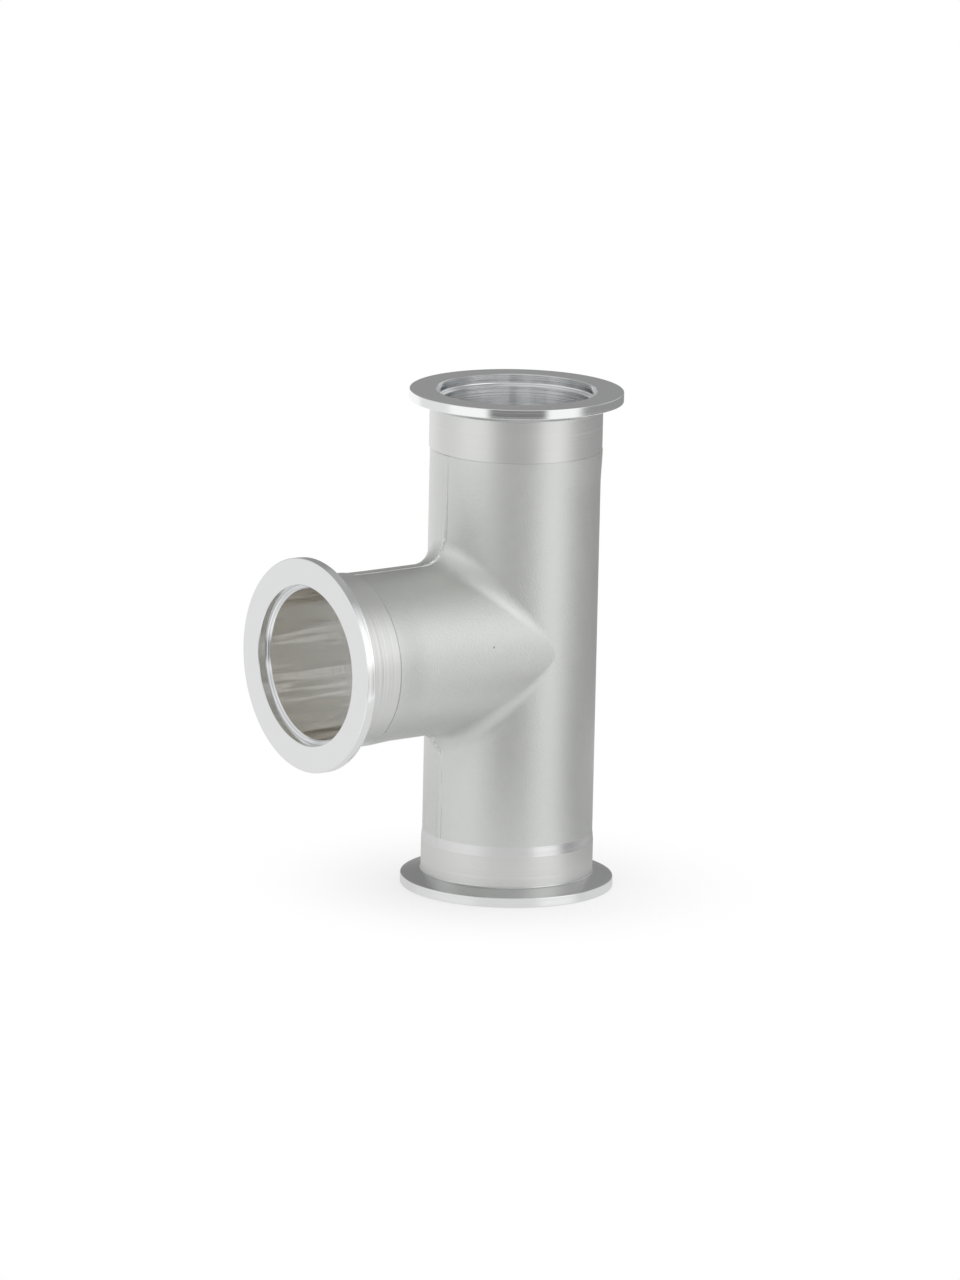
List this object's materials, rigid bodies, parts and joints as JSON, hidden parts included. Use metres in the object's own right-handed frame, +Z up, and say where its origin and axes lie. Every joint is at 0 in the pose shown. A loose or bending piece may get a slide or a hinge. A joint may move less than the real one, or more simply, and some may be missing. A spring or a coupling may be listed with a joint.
{
  "type": "vacuum flange tee",
  "caption": "Equal tee for small-flange vacuum lines, cast in one piece, with a clamping flange and centring recess at each port.",
  "frame": {"origin": "centre of the foot flange's sealing face, on the run's axis", "axes": "+Z up along the run to the head port, +X out along the branch"},
  "size_m": [0.0925, 0.055, 0.13],
  "materials": {
    "cast_aluminium": "fine matt cast skin, with bright turned flanges, recesses and bores"
  },
  "bodies": {
    "root": {"tee_body": "cast_aluminium"}
  },
  "joints": []
}
